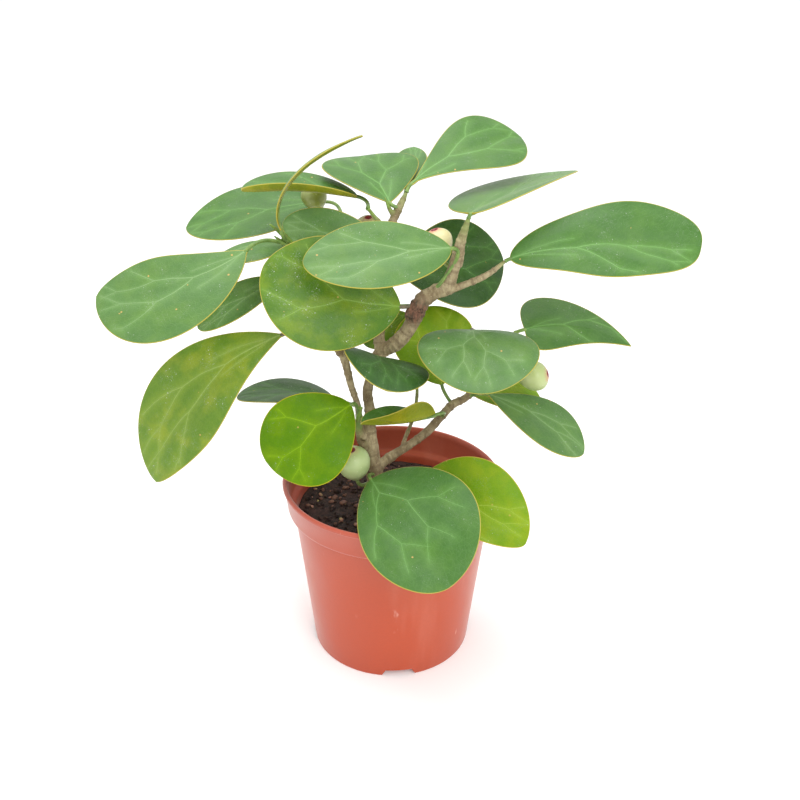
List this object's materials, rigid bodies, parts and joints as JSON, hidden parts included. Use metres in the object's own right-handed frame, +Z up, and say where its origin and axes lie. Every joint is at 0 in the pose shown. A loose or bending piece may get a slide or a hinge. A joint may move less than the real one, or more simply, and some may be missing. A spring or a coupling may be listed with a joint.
{
  "type": "potted mistletoe fig",
  "caption": "Small woody fig shrub with broad leathery leaves and round figs, standing in dark soil in a tapered terracotta-coloured nursery pot.",
  "frame": {"origin": "centre of the pot's base, on the floor", "axes": "+Z up along the pot's axis, -Y towards the front of the plant, +X to the plant's right in the front view"},
  "size_m": [0.2468, 0.1508, 0.2371],
  "materials": {
    "pot_plastic": "satin terracotta-coloured plastic, lightly scuffed",
    "potting_soil": "dark crumbly potting soil, matte",
    "bark": "grey-brown bark, rough, green on young shoots",
    "leaf_deep": "leathery deep green with a soft sheen",
    "leaf_mid": "leathery mid green with pale forked veins and a yellow margin",
    "leaf_fresh": "leathery yellow-green with a soft sheen",
    "fig_skin": "smooth pale green skin, pink-red round the mouth"
  },
  "bodies": {
    "root": {"pot": "pot_plastic", "soil": "potting_soil", "stems": "bark", "leaf_01": "leaf_mid", "leaf_02": "leaf_fresh", "leaf_03": "leaf_mid", "leaf_04": "leaf_mid", "leaf_05": "leaf_deep", "leaf_06": "leaf_deep", "leaf_07": "leaf_deep", "leaf_08": "leaf_deep", "leaf_09": "leaf_mid", "leaf_10": "leaf_mid", "leaf_11": "leaf_deep", "leaf_12": "leaf_mid", "leaf_13": "leaf_mid", "leaf_14": "leaf_deep", "leaf_15": "leaf_deep", "leaf_16": "leaf_mid", "leaf_17": "leaf_deep", "leaf_18": "leaf_fresh", "leaf_19": "leaf_fresh", "leaf_20": "leaf_deep", "leaf_21": "leaf_fresh", "leaf_22": "leaf_deep", "leaf_23": "leaf_deep", "leaf_24": "leaf_fresh", "leaf_25": "leaf_fresh", "leaf_26": "leaf_deep", "leaf_27": "leaf_deep", "leaf_28": "leaf_deep", "fig_1": "fig_skin", "fig_2": "fig_skin", "fig_3": "fig_skin", "fig_4": "fig_skin", "fig_5": "fig_skin"}
  },
  "joints": []
}
